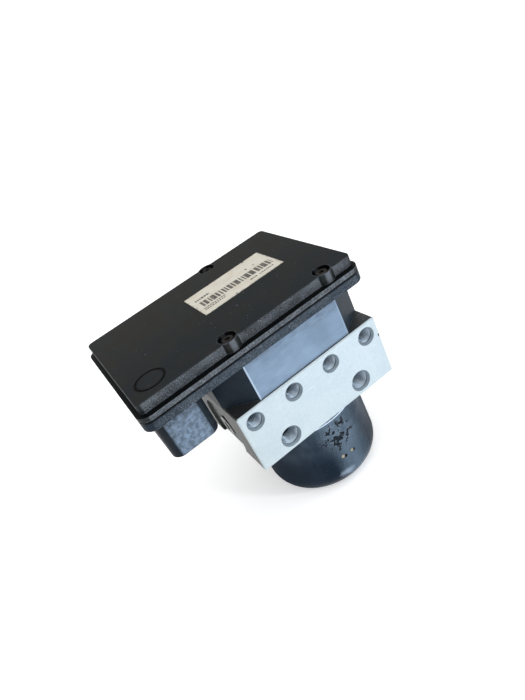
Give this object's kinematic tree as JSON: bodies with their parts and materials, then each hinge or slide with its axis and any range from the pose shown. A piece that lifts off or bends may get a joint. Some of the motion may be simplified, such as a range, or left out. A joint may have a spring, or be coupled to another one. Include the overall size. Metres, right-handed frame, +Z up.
{
  "type": "abs brake module",
  "caption": "Anti-lock brake hydraulic unit: ported aluminium valve block with a black pump motor below and a broad plastic control unit with connector above",
  "frame": {"origin": "centre of the pump motor's flat end, on the motor's axis", "axes": "+Z up the motor's axis to the control unit, -Y out of the ported face, +X right along that face"},
  "size_m": [0.1409, 0.1051, 0.1416],
  "materials": {
    "aluminium_block": "bright machined aluminium with fine cutter marks",
    "black_steel": "gloss black paint, chipped",
    "plate_metal": "die-cast",
    "black_plastic": "moulded glass-filled plastic with dust in its grain",
    "cover_plastic": "moulded plastic, satin",
    "seal_rubber": "matt black",
    "screw_steel": "zinc plated, dulled",
    "label_paper": "off-white film",
    "steel": "ground",
    "spring_steel": "drawn wire",
    "magnet": "sintered ferrite",
    "core_steel": "laminated",
    "copper": "enamelled copper",
    "bronze": "sintered bronze",
    "carbon": "pressed carbon",
    "inner_plastic": "moulded",
    "tinned": "tinned copper alloy",
    "board_green": "solder mask",
    "component": "moulded packages",
    "aluminium_small": "turned"
  },
  "bodies": {
    "root": {"valve_block": "aluminium_block", "motor_can": "black_steel", "motor_end_plate": "plate_metal", "motor_seal_ring": "seal_rubber", "field_magnets": "magnet", "rear_bush": "bronze", "bearing_outer_ring": "steel", "brush_holder": "inner_plastic", "carbon_brushes": "carbon", "brush_springs": "spring_steel", "lead_sleeve": "inner_plastic", "lead_pins": "tinned", "motor_screws": "screw_steel", "pump_spring_left": "spring_steel", "pump_spring_right": "spring_steel", "pump_plugs": "aluminium_small", "accumulator_spring_left": "spring_steel", "accumulator_spring_right": "spring_steel", "accumulator_caps": "aluminium_small", "inlet_valves": "steel", "outlet_valves": "steel", "valve_coils": "copper", "coil_yokes": "core_steel", "coil_terminals": "tinned", "ecu_housing": "black_plastic", "housing_seal": "seal_rubber", "housing_screws": "screw_steel", "connector_insert": "inner_plastic", "connector_pins": "tinned", "circuit_board": "board_green", "board_components": "component", "cover_gasket": "seal_rubber", "ecu_cover": "cover_plastic", "cover_screws": "screw_steel", "blank_label": "label_paper"},
    "rotor": {"motor_shaft": "steel", "armature_core": "core_steel", "armature_winding": "copper", "commutator": "copper", "bearing_inner_ring": "steel", "eccentric_bearing": "steel"},
    "pump_left": {"pump_piston_left": "steel"},
    "pump_right": {"pump_piston_right": "steel"},
    "accumulator_left": {"accumulator_piston_left": "aluminium_small", "accumulator_seal_left": "seal_rubber"},
    "accumulator_right": {"accumulator_piston_right": "aluminium_small", "accumulator_seal_right": "seal_rubber"},
    "inlet_1": {"inlet_plunger_1": "steel"},
    "inlet_2": {"inlet_plunger_2": "steel"},
    "inlet_3": {"inlet_plunger_3": "steel"},
    "inlet_4": {"inlet_plunger_4": "steel"},
    "outlet_1": {"outlet_plunger_1": "steel"},
    "outlet_2": {"outlet_plunger_2": "steel"},
    "outlet_3": {"outlet_plunger_3": "steel"},
    "outlet_4": {"outlet_plunger_4": "steel"}
  },
  "joints": [
    {"name": "motor_spin", "type": "hinge", "parent": "root", "child": "rotor", "pos_m": [0, 0, 0.016], "axis": [0, 0, 1], "continuous": true},
    {"name": "pump_left_stroke", "type": "slide", "parent": "root", "child": "pump_left", "axis": [-1, 0, 0], "range_m": [0, 0.0024], "stiffness_N_per_m": 3000, "springref_m": -0.002, "deforming": ["pump_spring_left"]},
    {"name": "pump_right_stroke", "type": "slide", "parent": "root", "child": "pump_right", "axis": [1, 0, 0], "range_m": [0, 0.0024], "stiffness_N_per_m": 3000, "springref_m": -0.002, "deforming": ["pump_spring_right"]},
    {"name": "accumulator_left_stroke", "type": "slide", "parent": "root", "child": "accumulator_left", "axis": [0, 1, 0], "range_m": [0, 0.008], "stiffness_N_per_m": 2500, "springref_m": -0.004, "deforming": ["accumulator_spring_left"]},
    {"name": "accumulator_right_stroke", "type": "slide", "parent": "root", "child": "accumulator_right", "axis": [0, 1, 0], "range_m": [0, 0.008], "stiffness_N_per_m": 2500, "springref_m": -0.004, "deforming": ["accumulator_spring_right"]},
    {"name": "inlet_1_lift", "type": "slide", "parent": "root", "child": "inlet_1", "axis": [0, 0, -1], "range_m": [0, 0.0004], "stiffness_N_per_m": 2000, "springref_m": -0.0005},
    {"name": "inlet_2_lift", "type": "slide", "parent": "root", "child": "inlet_2", "axis": [0, 0, -1], "range_m": [0, 0.0004], "stiffness_N_per_m": 2000, "springref_m": -0.0005},
    {"name": "inlet_3_lift", "type": "slide", "parent": "root", "child": "inlet_3", "axis": [0, 0, -1], "range_m": [0, 0.0004], "stiffness_N_per_m": 2000, "springref_m": -0.0005},
    {"name": "inlet_4_lift", "type": "slide", "parent": "root", "child": "inlet_4", "axis": [0, 0, -1], "range_m": [0, 0.0004], "stiffness_N_per_m": 2000, "springref_m": -0.0005},
    {"name": "outlet_1_lift", "type": "slide", "parent": "root", "child": "outlet_1", "axis": [0, 0, 1], "range_m": [0, 0.0004], "stiffness_N_per_m": 2000, "springref_m": -0.0005},
    {"name": "outlet_2_lift", "type": "slide", "parent": "root", "child": "outlet_2", "axis": [0, 0, 1], "range_m": [0, 0.0004], "stiffness_N_per_m": 2000, "springref_m": -0.0005},
    {"name": "outlet_3_lift", "type": "slide", "parent": "root", "child": "outlet_3", "axis": [0, 0, 1], "range_m": [0, 0.0004], "stiffness_N_per_m": 2000, "springref_m": -0.0005},
    {"name": "outlet_4_lift", "type": "slide", "parent": "root", "child": "outlet_4", "axis": [0, 0, 1], "range_m": [0, 0.0004], "stiffness_N_per_m": 2000, "springref_m": -0.0005}
  ]
}
